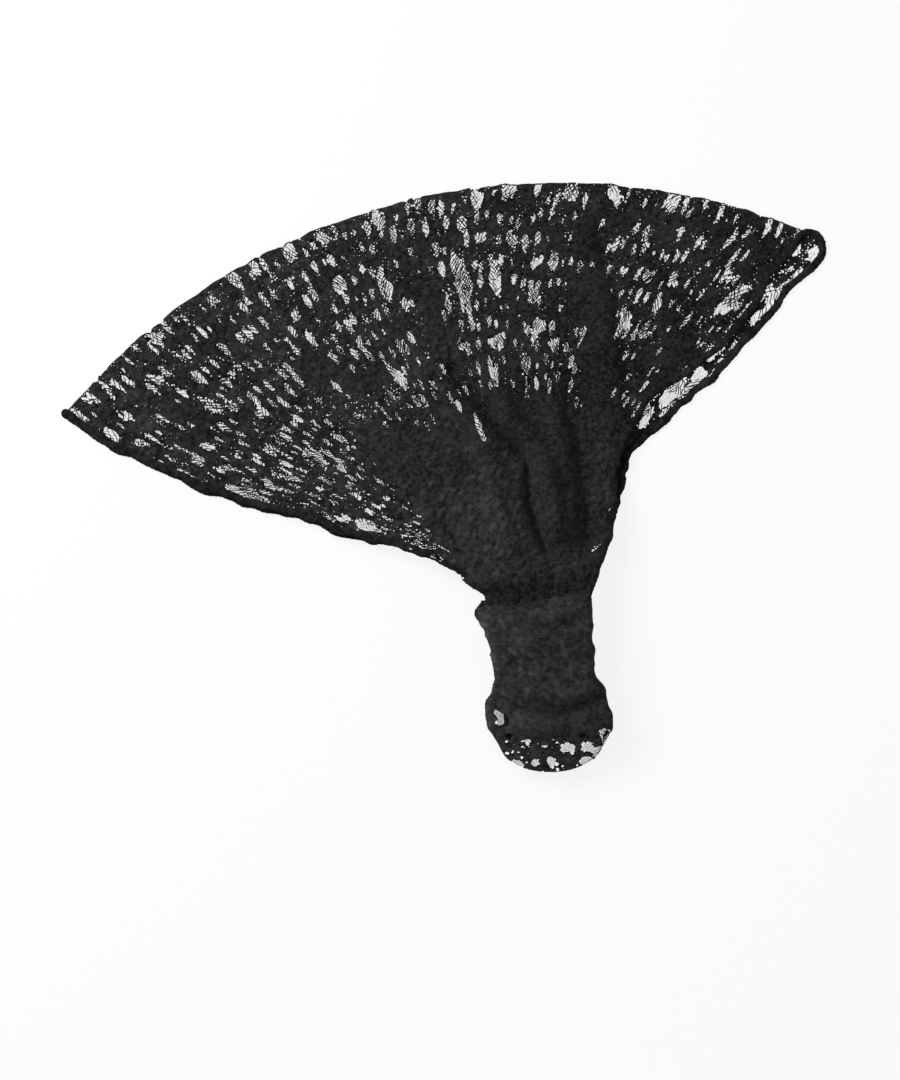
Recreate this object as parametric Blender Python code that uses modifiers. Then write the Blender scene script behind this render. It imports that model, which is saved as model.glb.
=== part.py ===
"""A wide lace headband, a closed loop of cloth laid flat with its lace panel spread into a fan.

One lace panel runs over the head. It is folded at the crown, so a front and a back layer lie on each other.
Both ends of the panel are gathered and sewn to a flat elastic, which turns at the nape inside a lace casing.
The band lies on its back layer: +X towards its right tip, +Y towards the crown fold, +Z up.
"""

import math

import bmesh
import bpy
from mathutils import Vector

# Driving dimensions, in metres and radians

SPREAD = 0.3316                          # between the tips of the crown fold, along the spread panel
SPREAD_TILT = math.radians(12.3)         # the right tip lies higher than the left one
CROWN_RISE = 0.0570                      # the crown fold's arc above the line between its tips
CROWN_REACH = 0.1171                     # from the neck to the middle of that line
CROWN_LEAN = math.radians(18.0)          # that middle lies to the left of the neck

LEFT_HEM_AT_NECK = Vector((-0.0298, 0.0339))     # how each hem leaves the neck and reaches its tip,
LEFT_HEM_AT_TIP = Vector((0.0866, -0.0583))      # as the handles of one smooth curve
RIGHT_HEM_AT_NECK = Vector((0.0099, 0.0592))
RIGHT_HEM_AT_TIP = Vector((-0.0773, -0.0783))

LACE = 0.0008                            # thickness of the lace
NECK_WIDTH = 0.0400                      # between the two hems where the panel enters the casing
TUCK = 0.0100                            # length of gathered panel inside the casing
PLEAT_HEIGHT = 0.0008                    # the gathers at the neck, either side of their middle
PLEATS = 6
GATHER_REACH = 0.30                      # share of the panel's length that the gathers run up
BACK_LIFT_REACH = 0.40                   # share in which the back layer comes down to the table
FRONT_DROP = 2.5                         # how fast the front layer comes down, as a power
FOLD_HEIGHT = 0.0028                     # the loose folds of the front layer above the neck
FOLDS = 4
FOLD_SHIFT = 0.2                         # of these folds to the right
FOLD_REACH = 0.65                        # share of the panel's length that these folds run up

OPENING_COLUMNS = 18                     # the openwork, as a half-drop net of openings
OPENING_ROWS = 6
OPENING_SHARE = 0.40                     # share of each step of the net that is open
GATHERED_ROWS = 1                        # rows of the net near the neck that the gathers close up

HEM_RADIUS = 0.0012                      # the rolled hem along each side of the panel
LEFT_HEM_STEP = 0.0040                   # how far the front layer's hem lies inside the back layer's
RIGHT_HEM_STEP = 0.0065
HEM_STEP_REACH = 0.30                    # share of the panel's length in which it gets there

ELASTIC_WIDTH = 0.0370
ELASTIC_THICKNESS = 0.0012
CASING_WALL = 0.0007
CASING_MOUTH_WIDTH = 0.0485
CASING_WAIST_WIDTH = 0.0415
CASING_NAPE_WIDTH = 0.0515
CASING_TURN_WIDTH = 0.0430               # where it draws in again, round the elastic's turn
CASING_MOUTH_THICKNESS = 0.0060
CASING_MOUTH_TAPER = 0.0200              # from the gathered end to where the casing lies close on the elastic
CASING_WAIST_START = 0.0080              # from the mouth to where the casing draws in
CASING_WAIST_DRAW = 0.0180               # length in which it does so
CASING_WAIST_END = 0.0360                # from the mouth to where the ruched part ends
CASING_RUCHE_EDGE = 0.0100               # length in which it then widens
CASING_RUN = 0.0540                      # from the mouth to the turn at the nape
CASING_SLACK = 0.0125                    # the lace bags out past the elastic's turn
CASING_LEAN = math.radians(5.0)          # the casing runs down to the right
RUCHE_HEIGHT = 0.0011
RUCHES = 4
HEAD_GAP = 0.0050                        # clear height between the two mouths

SEAM_RADIUS = 0.0006                     # the seam that closes the casing along its left edge
THREAD_RADIUS = 0.00025                  # the zigzag that joins panel and elastic
THREAD_STITCHES = 12
THREAD_SWING = 0.0030                    # across the join, from one side to the other
THREAD_MARGIN = 0.0040                   # from the edge of the elastic

FIT_GAP = 0.0003                         # between pieces that touch

END_STEPS = 4                            # points of the casing's section round each edge
FACE_STEPS = 5                           # and across each face

# Worked out from the dimensions above

MOUTH_HALF = CASING_MOUTH_THICKNESS / 2
RUN_HALF = ELASTIC_THICKNESS / 2 + FIT_GAP + CASING_WALL
FRONT_FLOOR = CASING_MOUTH_THICKNESS + HEAD_GAP
TURN_RADIUS = FRONT_FLOOR / 2
CASING_PATH = 2 * CASING_RUN + math.pi * TURN_RADIUS
HEM_SEAT = HEM_RADIUS + 2 * FIT_GAP
FRONT_REST = LACE + FIT_GAP + LACE / 2
ELASTIC_START = TUCK + FIT_GAP
MOUTH_DEPTH = TUCK + THREAD_SWING

for old in list(bpy.data.objects):
    bpy.data.objects.remove(old, do_unlink=True)

band = bpy.data.collections.new("lace_headband")
bpy.context.scene.collection.children.link(band)


def smooth(x):
    """0 below 0, 1 above 1, and an even S between them."""
    x = min(max(x, 0.0), 1.0)
    return x * x * (3 - 2 * x)


def mix(a, b, share):
    return a + (b - a) * share


def cloth(name, colour, roughness):
    """A matte material for thread and cloth."""
    material = bpy.data.materials.new(name)
    material.use_nodes = True
    shader = material.node_tree.nodes["Principled BSDF"]
    shader.inputs["Base Color"].default_value = (*colour, 1.0)
    shader.inputs["Roughness"].default_value = roughness
    shader.inputs["Metallic"].default_value = 0.0
    return material


def add(name, data, material):
    piece = bpy.data.objects.new(name, data)
    piece.data.materials.append(material)
    band.objects.link(piece)
    return piece


def sheet(name, material, columns, rows, place, thickness, side=0.0, is_open=None, wrapped=False):
    """A grid of cloth laid by place(across, along), both from 0 to 1, and thickened.

    is_open says which of its faces, by column and row, are openings. A wrapped sheet closes into a tube.
    """
    shape = bmesh.new()
    bmesh.ops.create_grid(shape, x_segments=columns, y_segments=rows, size=0.5)
    if is_open:
        openings = []
        for face in shape.faces:
            middle = face.calc_center_median()
            if is_open(int((middle.x + 0.5) * columns), int((middle.y + 0.5) * rows)):
                openings.append(face)
        bmesh.ops.delete(shape, geom=openings, context="FACES")
    for vertex in shape.verts:
        vertex.co = place(vertex.co.x + 0.5, vertex.co.y + 0.5)
    if wrapped:
        bmesh.ops.remove_doubles(shape, verts=shape.verts, dist=1e-6)
    bmesh.ops.recalc_face_normals(shape, faces=shape.faces)
    mesh = bpy.data.meshes.new(name)
    shape.to_mesh(mesh)
    shape.free()
    mesh.shade_smooth()
    piece = add(name, mesh, material)
    solidify = piece.modifiers.new("cloth_thickness", "SOLIDIFY")
    solidify.thickness = thickness
    solidify.offset = side
    solidify.use_even_offset = True
    return piece


def thread(name, material, points, radius, resolution):
    """A round thread or rolled edge along points."""
    curve = bpy.data.curves.new(name, "CURVE")
    curve.dimensions = "3D"
    curve.bevel_depth = radius
    curve.bevel_resolution = resolution
    curve.use_fill_caps = True
    spline = curve.splines.new("POLY")
    spline.points.add(len(points) - 1)
    for knot, point in zip(spline.points, points):
        knot.co = (*point, 1.0)
    return add(name, curve, material)


# The spread panel, seen from above. side runs from -1 at the left hem to 1 at the right one,
# and along from 0 at the neck to 1 at the crown fold, and below 0 inside the casing.

def crown_point(side):
    """A point of the crown fold, an arc over the line between the tips."""
    half = SPREAD / 2
    radius = (half * half + CROWN_RISE * CROWN_RISE) / (2 * CROWN_RISE)
    angle = math.asin(half / radius) * side
    run = radius * math.sin(angle)
    rise = radius * math.cos(angle) - (radius - CROWN_RISE)
    middle = CROWN_REACH * Vector((-math.sin(CROWN_LEAN), math.cos(CROWN_LEAN)))
    along = Vector((math.cos(SPREAD_TILT), math.sin(SPREAD_TILT)))
    up = Vector((-math.sin(SPREAD_TILT), math.cos(SPREAD_TILT)))
    return middle + run * along + rise * up


def panel_point(side, along):
    """Where the panel lies in plan: one smooth curve from the neck to the crown for each side."""
    across = (side + 1) / 2
    neck = Vector((side * NECK_WIDTH / 2, 0.0))
    if along <= 0:
        depth = -along * TUCK
        return neck + Vector((depth * math.tan(CASING_LEAN), -depth))
    near = neck + mix(LEFT_HEM_AT_NECK, RIGHT_HEM_AT_NECK, across)
    crown = crown_point(side)
    far = crown + mix(LEFT_HEM_AT_TIP, RIGHT_HEM_AT_TIP, across)
    rest = 1 - along
    return (neck * rest ** 3 + near * (3 * along * rest ** 2)
            + far * (3 * along ** 2 * rest) + crown * along ** 3)


def inside(side, along, inset):
    """The same side value moved inwards by inset metres at this height."""
    half_width = (panel_point(1, along) - panel_point(-1, along)).length / 2
    return side * (1 - inset / half_width)


def hem_step(side, along):
    """How far in from the back layer's hem the front layer's lies."""
    step = mix(LEFT_HEM_STEP, RIGHT_HEM_STEP, (side + 1) / 2)
    return step * smooth(along / HEM_STEP_REACH)


def gathers(side, along):
    """The gathers at the neck, which are low at both hems and run out up the panel."""
    return -PLEAT_HEIGHT * math.cos(math.pi * PLEATS * (1 - side)) * (1 - smooth(along / GATHER_REACH))


def back_height(side, along):
    """The back layer lies on the table and rises into the back mouth, in small gathers."""
    up = max(along, 0.0)
    lift = (MOUTH_HALF - LACE / 2) * (1 - smooth(up / BACK_LIFT_REACH))
    return LACE / 2 + lift + gathers(side, up)


def front_height(side, along):
    """The front layer lies on the back one at the crown, and rises in loose folds into the front mouth."""
    up = max(along, 0.0)
    mouth = FRONT_FLOOR + MOUTH_HALF
    lift = (mouth - FRONT_REST) * (1 - up) ** FRONT_DROP
    loose = math.sin(math.pi * min(up / FOLD_REACH, 1.0)) ** 2
    folds = FOLD_HEIGHT * loose * math.cos(math.pi * FOLDS * (side - FOLD_SHIFT))
    return FRONT_REST + lift + gathers(side, up) + folds


def net_lines(openings):
    """The lines of the net, from 0 to 1, with a bar before, between and after its openings."""
    bar = 1 - OPENING_SHARE
    lines = []
    for step in range(openings + 1):
        lines += [step, step + bar]
    return [line / lines[-1] for line in lines]


def is_lace_opening(column, row):
    """Every other opening of the net, half a drop apart, above the gathered part of the panel."""
    step_across, open_across = divmod(column, 2)
    step_along, open_along = divmod(row - 1, 2)
    drop = (step_across + step_along) % 2 == 0
    return bool(open_across and open_along and drop and step_along >= GATHERED_ROWS)


def panel_rows():
    """Where the rows of the panel lie: its end in the casing, then the lines of the net up to the crown."""
    return [-1.0] + net_lines(OPENING_ROWS)


def panel_layer(name, material, height, steps_in):
    """One layer of the panel, between its hems, from its gathered end in the casing to the crown fold."""
    lines = net_lines(OPENING_COLUMNS)
    stations = panel_rows()
    columns = len(lines) - 1
    rows = len(stations) - 1

    def place(across, upwards):
        along = stations[round(upwards * rows)]
        left = inside(-1, along, steps_in * hem_step(-1, along) + HEM_SEAT)
        right = inside(1, along, steps_in * hem_step(1, along) + HEM_SEAT)
        side = mix(left, right, lines[round(across * columns)])
        return Vector((*panel_point(side, along), height(side, along)))

    return sheet(name, material, columns, rows, place, LACE, is_open=is_lace_opening)


def hem(name, material, side):
    """One rolled hem: up the front layer's edge, round the tip of the fold, and down the back layer's."""
    rise = HEM_RADIUS - LACE / 2

    def edge(along, height, steps_in):
        moved = inside(side, along, steps_in * hem_step(side, along))
        return Vector((*panel_point(moved, along), height(moved, along) + rise))

    front = [edge(along, front_height, 1) for along in panel_rows()]
    back = [edge(along, back_height, 0) for along in reversed(panel_rows())]
    outward = -(LEFT_HEM_AT_TIP if side < 0 else RIGHT_HEM_AT_TIP).normalized()
    middle = (front[-1] + back[0]) / 2
    reach = (front[-1] - back[0]) / 2
    turn_points = 5
    turn = []
    for i in range(1, turn_points + 1):
        angle = math.pi * i / (turn_points + 1)
        bulge = reach.to_2d().length * math.sin(angle)
        turn.append(middle + reach * math.cos(angle) + bulge * outward.to_3d())
    return thread(name, material, front + turn + back, HEM_RADIUS, 1)


# The casing and the elastic follow one path: from the front mouth down to the nape, round, and back up.

def casing_station(distance):
    """Middle of the path, its outward direction, and the casing's half width and half thickness there."""
    on_turn = (distance - CASING_RUN) / TURN_RADIUS
    from_mouth = min(distance, CASING_PATH - distance)
    half_thickness = mix(MOUTH_HALF, RUN_HALF, smooth((from_mouth - MOUTH_DEPTH) / CASING_MOUTH_TAPER))
    on_front = distance < CASING_PATH / 2
    drawn_in = smooth((from_mouth - CASING_WAIST_START) / CASING_WAIST_DRAW)
    widened = smooth((from_mouth - CASING_WAIST_END) / CASING_RUCHE_EDGE)
    half_width = mix(mix(CASING_MOUTH_WIDTH, CASING_WAIST_WIDTH, drawn_in), CASING_NAPE_WIDTH, widened) / 2
    if 0 <= on_turn <= math.pi:
        half_width = mix(half_width, CASING_TURN_WIDTH / 2, math.sin(on_turn) ** 2)
        y = -CASING_RUN - TURN_RADIUS * math.sin(on_turn)
        z = RUN_HALF + TURN_RADIUS + TURN_RADIUS * math.cos(on_turn)
        outward = Vector((0.0, -math.sin(on_turn), math.cos(on_turn)))
    else:
        y = -from_mouth
        z = FRONT_FLOOR + half_thickness if on_front else half_thickness
        outward = Vector((0.0, 0.0, 1.0 if on_front else -1.0))
    middle = Vector((-y * math.tan(CASING_LEAN), y, z))
    return middle, outward, half_width, half_thickness


def casing_bag(distance):
    """How the outer lace stands off the elastic: up in ruches on the front run, and outwards at the turn."""
    if distance < CASING_RUN:
        ruche = 0.5 - 0.5 * math.cos(2 * math.pi * RUCHES * distance / CASING_RUN)
        return Vector((0.0, 0.0, RUCHE_HEIGHT * ruche))
    on_turn = min((distance - CASING_RUN) / TURN_RADIUS, math.pi)
    return Vector((0.0, -CASING_SLACK * math.sin(on_turn) ** 2, 0.0))


def casing_outline(part, half_width, half_thickness):
    """A point of the casing's section, a flat band with round edges, counted from its lower right."""
    flat = half_width - half_thickness
    side = 1 if part <= END_STEPS + FACE_STEPS else -1
    if side < 0:
        part -= END_STEPS + FACE_STEPS
    if part <= END_STEPS:
        angle = math.pi * (part / END_STEPS - 0.5)
        return side * (flat + half_thickness * math.cos(angle)), side * half_thickness * math.sin(angle)
    return side * flat * (1 - 2 * (part - END_STEPS) / FACE_STEPS), side * half_thickness


def casing_distances():
    """Where the casing's rows lie along the path: close on the ruched run and the turn."""
    front_rows = 4 * RUCHES
    turn_rows = 8
    back_rows = 6
    front = [CASING_RUN * i / front_rows for i in range(front_rows)]
    turn = [CASING_RUN + math.pi * TURN_RADIUS * i / turn_rows for i in range(turn_rows)]
    back = [CASING_PATH - CASING_RUN * (1 - i / back_rows) for i in range(back_rows + 1)]
    return front + turn + back


def casing(material):
    """The lace tube round the elastic, open at both mouths, where the gathered panel goes in."""
    distances = casing_distances()
    around = 2 * (END_STEPS + FACE_STEPS)

    def place(turn, along):
        distance = distances[round(along * (len(distances) - 1))]
        middle, outward, half_width, half_thickness = casing_station(distance)
        x, off = casing_outline(round(turn * around) % around, half_width, half_thickness)
        crowned = math.sqrt(max(0.0, 1 - (x / half_width) ** 2)) if off > 0 else 0.0
        return middle + Vector((x, 0.0, 0.0)) + outward * off + casing_bag(distance) * crowned

    return sheet("nape_casing", material, around, len(distances) - 1, place, CASING_WALL,
                 side=-1.0, wrapped=True)


def elastic(material):
    """The flat elastic inside the casing, from one gathered end of the panel to the other."""
    distances = [d for d in casing_distances() if ELASTIC_START < d < CASING_PATH - ELASTIC_START]
    distances = [ELASTIC_START] + distances + [CASING_PATH - ELASTIC_START]

    def place(across, along):
        middle = casing_station(distances[round(along * (len(distances) - 1))])[0]
        return middle + Vector(((across - 0.5) * ELASTIC_WIDTH, 0.0, 0.0))

    return sheet("nape_elastic", material, 4, len(distances) - 1, place, ELASTIC_THICKNESS)


def casing_seam(material):
    """The overlocked seam that closes the casing, along its left edge."""
    points = []
    for distance in casing_distances():
        middle, _, half_width, _ = casing_station(distance)
        points.append(middle - Vector((half_width + FIT_GAP + SEAM_RADIUS, 0.0, 0.0)))
    return thread("casing_seam", material, points, SEAM_RADIUS, 1)


def join_stitching(name, material, distance, upward):
    """The zigzag of thread that sews one gathered end of the panel to the elastic, inside the casing."""
    middle = casing_station(distance)[0]
    lift = upward * (PLEAT_HEIGHT + LACE / 2 + FIT_GAP + THREAD_RADIUS)
    reach = ELASTIC_WIDTH / 2 - THREAD_MARGIN
    points = []
    for i in range(THREAD_STITCHES + 1):
        x = mix(-reach, reach, i / THREAD_STITCHES)
        swing = THREAD_SWING / 2 * (1 if i % 2 else -1)
        points.append(middle + Vector((x, swing, lift)))
    return thread(name, material, points, THREAD_RADIUS, 0)


black_lace = cloth("black_lace", (0.020, 0.020, 0.022), 0.95)
casing_lace = cloth("casing_lace", (0.021, 0.021, 0.023), 0.95)
hem_yarn = cloth("hem_yarn", (0.014, 0.014, 0.015), 0.90)
black_elastic = cloth("black_elastic", (0.018, 0.018, 0.020), 0.80)
sewing_thread = cloth("sewing_thread", (0.012, 0.012, 0.013), 0.60)

crown_pieces = [
    panel_layer("back_lace_layer", black_lace, back_height, 0),
    panel_layer("front_lace_layer", black_lace, front_height, 1),
    hem("left_hem", hem_yarn, -1),
    hem("right_hem", hem_yarn, 1),
    join_stitching("front_join_stitching", sewing_thread, ELASTIC_START, 1),
    join_stitching("back_join_stitching", sewing_thread, CASING_PATH - ELASTIC_START, 1),
]
nape_pieces = [
    casing(casing_lace),
    elastic(black_elastic),
    casing_seam(sewing_thread),
]

# The nape is pulled away from the neck along -Y, so its pieces hang on an empty there. The whole band is
# then moved so that its origin is under the middle of its plan, on the table.

origin = bpy.data.objects.new("headband_origin", None)
nape_pull = bpy.data.objects.new("nape_pull", None)
for empty in (origin, nape_pull):
    band.objects.link(empty)
nape_pull.parent = origin
for piece in crown_pieces:
    piece.parent = origin
for piece in nape_pieces:
    piece.parent = nape_pull

bpy.context.view_layer.update()
shown = bpy.context.evaluated_depsgraph_get()
points = []
for piece in crown_pieces + nape_pieces:
    evaluated = piece.evaluated_get(shown)
    points += [vertex.co.copy() for vertex in evaluated.to_mesh().vertices]
    evaluated.to_mesh_clear()
lowest = Vector([min(point[axis] for point in points) for axis in range(3)])
highest = Vector([max(point[axis] for point in points) for axis in range(3)])
middle = (lowest + highest) / 2
origin.location = (-middle.x, -middle.y, -lowest.z)
print("headband", [round(1000 * size, 2) for size in highest - lowest], "mm, neck at",
      [round(1000 * place, 2) for place in origin.location], "mm")
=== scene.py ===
import math

import bpy
import numpy as np
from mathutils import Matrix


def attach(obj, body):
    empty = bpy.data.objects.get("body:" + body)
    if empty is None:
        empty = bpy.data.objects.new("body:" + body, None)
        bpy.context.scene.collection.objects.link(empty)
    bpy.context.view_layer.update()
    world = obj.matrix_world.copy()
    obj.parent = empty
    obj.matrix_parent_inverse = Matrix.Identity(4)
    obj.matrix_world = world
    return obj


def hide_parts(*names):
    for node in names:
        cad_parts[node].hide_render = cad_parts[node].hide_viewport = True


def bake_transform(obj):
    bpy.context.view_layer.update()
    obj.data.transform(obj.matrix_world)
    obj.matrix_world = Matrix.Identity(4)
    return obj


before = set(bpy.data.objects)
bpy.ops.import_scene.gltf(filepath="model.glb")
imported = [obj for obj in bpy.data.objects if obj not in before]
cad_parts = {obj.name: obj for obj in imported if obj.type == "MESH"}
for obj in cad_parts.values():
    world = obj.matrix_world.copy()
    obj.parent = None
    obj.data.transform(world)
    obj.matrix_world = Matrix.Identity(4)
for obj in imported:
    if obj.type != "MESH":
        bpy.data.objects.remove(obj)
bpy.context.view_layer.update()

# The lace panel is one rectangle of stretchy black knitted lace, folded across its middle at the crown.
# Both ends are gathered into the neck of the band, so each of its two layers spreads from there into a fan.
# These are its sizes, in metres, and how it lies on the table, seen from above.

NECK = np.array((0.03618, -0.04993))  # where the panel leaves the casing
SPREAD = 0.3316  # between the tips of the crown fold
SPREAD_TILT = math.radians(12.3)
CROWN_RISE = 0.0570  # the fold's arc above the line between its tips
CROWN_REACH = 0.1171  # from the neck to the middle of that line
CROWN_LEAN = math.radians(18.0)
LEFT_HEM_AT_NECK = np.array((-0.0298, 0.0339))  # handles of the curve that each hem follows
LEFT_HEM_AT_TIP = np.array((0.0866, -0.0583))
RIGHT_HEM_AT_NECK = np.array((0.0099, 0.0592))
RIGHT_HEM_AT_TIP = np.array((-0.0773, -0.0783))
NECK_WIDTH = 0.0400
PANEL_LENGTH = 0.1750  # of one layer, from the neck to the crown fold
CROWN_WIDTH = 0.3500  # of the stretched lace, along the crown fold
CROWN_WAVE = 0.0005  # the fold is not quite even
CROWN_WAVES = 36  # from its middle to a tip
CASING_LEAN = math.radians(5.0)  # the casing runs down to the right
HEM_WAVE = 0.0010  # the hems wander in and out by this much
HEM_WAVES = 17  # bends of a hem between the neck and its tip
HEM_FRAY = 0.0006  # and small bumps stand on these bends
HEM_BUMPS = 44
HEM_CALM_AT_NECK = 0.20  # shares of the length in which they come in
HEM_CALM_AT_TIP = 0.05
HEM_BENDS = (  # side, outwards by, at and over which share along
    (1, 0.0036, 0.15, 0.13), (1, -0.0032, 0.46, 0.09), (1, 0.0020, 0.73, 0.12),
    (1, -0.0022, 0.93, 0.035), (1, -0.0045, 1.00, 0.02),
    (-1, 0.0018, 0.07, 0.05), (-1, 0.0014, 0.38, 0.05), (-1, -0.0014, 0.57, 0.08),
)


def smooth(x):
    """0 below 0, 1 above 1, and an even S between them."""
    x = np.clip(x, 0.0, 1.0)
    return x * x * (3 - 2 * x)


def mix(a, b, share):
    return a + (b - a) * share


def ripple(x, y, seed):
    """Smooth random heights from -1 to 1 over a plane, with about one bump for each unit of x and y."""
    size = 128
    heights = np.random.default_rng(seed).uniform(-1, 1, (size, size))
    i, j = np.floor(x).astype(int), np.floor(y).astype(int)
    a, b = smooth(x - i), smooth(y - j)
    near = mix(heights[i % size, j % size], heights[(i + 1) % size, j % size], a)
    far = mix(heights[i % size, (j + 1) % size], heights[(i + 1) % size, (j + 1) % size], a)
    return mix(near, far, b)


def hump(x, at, over):
    """1 at the given place, and falling off evenly on both sides of it."""
    return np.exp(-((x - at) / over) ** 2)


def crown_point(side):
    """A point of the crown fold, for side from -1 at the left tip to 1 at the right one."""
    half = SPREAD / 2
    radius = (half ** 2 + CROWN_RISE ** 2) / (2 * CROWN_RISE)
    angle = math.asin(half / radius) * side
    run = radius * np.sin(angle)
    uneven = CROWN_WAVE * ripple(side * CROWN_WAVES, 0 * side, 13) * smooth((1 - np.abs(side)) / 0.05)
    rise = radius * np.cos(angle) - (radius - CROWN_RISE) + uneven
    cos, sin = math.cos(SPREAD_TILT), math.sin(SPREAD_TILT)
    x = -CROWN_REACH * math.sin(CROWN_LEAN) + run * cos - rise * sin
    y = CROWN_REACH * math.cos(CROWN_LEAN) + run * sin + rise * cos
    return np.stack((x, y), -1)


def smooth_panel(side, along):
    """Where the panel lies. along is 0 at the neck, 1 at the crown fold, and below 0 inside the casing."""
    side, along = np.broadcast_arrays(np.asarray(side, float), np.asarray(along, float))
    across = (side[..., None] + 1) / 2
    neck = np.stack((side * NECK_WIDTH / 2, np.zeros_like(side)), -1)
    near = neck + mix(LEFT_HEM_AT_NECK, RIGHT_HEM_AT_NECK, across)
    crown = crown_point(side)
    far = crown + mix(LEFT_HEM_AT_TIP, RIGHT_HEM_AT_TIP, across)
    up = np.maximum(along, 0)[..., None]
    rest = 1 - up
    laid = neck * rest ** 3 + near * 3 * up * rest ** 2 + far * 3 * up ** 2 * rest + crown * up ** 3
    tucked = np.maximum(-along, 0)[..., None] * PANEL_LENGTH
    return NECK + laid + tucked * np.array((math.tan(CASING_LEAN), -1.0))


def half_width(along):
    return np.linalg.norm(smooth_panel(1, along) - smooth_panel(-1, along), axis=-1) / 2


def inside(side, along, inset):
    """The hem at side, moved inwards by inset metres."""
    return side * (1 - inset / half_width(along))


def panel_point(side, along):
    """Where the panel lies, with its hems wandering a little."""
    row = 5.0 + 3 * np.sign(side)
    bend = HEM_WAVE * ripple(along * HEM_WAVES, row, 11)
    bend = bend + HEM_FRAY * ripple(along * HEM_BUMPS, row, 12)
    calm = smooth(along / HEM_CALM_AT_NECK) * smooth((1 - along) / HEM_CALM_AT_TIP)
    outward = bend * calm * np.abs(side) ** 9
    for bent, reach, at, width in HEM_BENDS:
        outward = outward + reach * hump(along, at, width) * np.maximum(bent * side, 0) ** 3
    return smooth_panel(side + outward * np.sign(side) / half_width(along), along)


# The yarn of the lace is matte black and fuzzy. Its fibres lie in fine streaks, with oblong nubs on them, and
# where it lies thin, round pin-holes go through it. The yarn is painted paler up each nub, a painted
# highlight on the nubs' tops. The same yarn is in the lace, the hems and the casing, so its looks are one
# group of nodes.

YARN_DARK = (0.0035, 0.0035, 0.0038, 1.0)
YARN_PALE = (0.0500, 0.0500, 0.0540, 1.0)
YARN_CLUMP = 0.0017
YARN_FIBRE = 0.0008
PIN_HOLE_PITCH = 0.0012
FIBRE_TURN = math.radians(40.0)
FIBRE_DRAWN = 0.45
CLUMP_SHARE = 0.70  # what each adds to the yarn's tone
FIBRE_SHARE = 0.60
PATCH_SHARE = 0.35
# up a nub the yarn is painted paler, a painted highlight on the nubs' tops
NUB_HIGHLIGHT_SHARE = 0.55
DARK_TONE = 0.71
PALE_TONE = 1.32
WORN_PATCHES = 55.0  # to the metre
HOLE_CHANCE = 1.6  # how readily thin yarn has a hole,
HOLE_GROWTH = 0.6  # and how fast the holes widen as it gets thinner,
WIDEST_HOLE = 0.47  # up to this radius, as a share of their distance
LEAST_ROUGH = 0.78
MOST_ROUGH = 0.98
YARN_GLOSS = 0.06
YARN_SHEEN = 0.03
SHEEN_ROUGHNESS = 0.5
SHEEN_TINT = (0.70, 0.70, 0.76, 1.0)
BUMP_STRENGTH = 0.8


def give(tree, socket, value):
    """Sets a node's input to a value, or links it to another node's output."""
    if isinstance(value, bpy.types.NodeSocket):
        tree.links.new(value, socket)
    else:
        socket.default_value = value


def add_node(tree, kind, **inputs):
    made = tree.nodes.new("ShaderNode" + kind)
    for name, value in inputs.items():
        give(tree, made.inputs[name.replace("_", " ")], value)
    return made


def add_math(tree, operation, first, second):
    made = tree.nodes.new("ShaderNodeMath")
    made.operation = operation
    give(tree, made.inputs[0], first)
    give(tree, made.inputs[1], second)
    return made.outputs["Value"]


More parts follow.
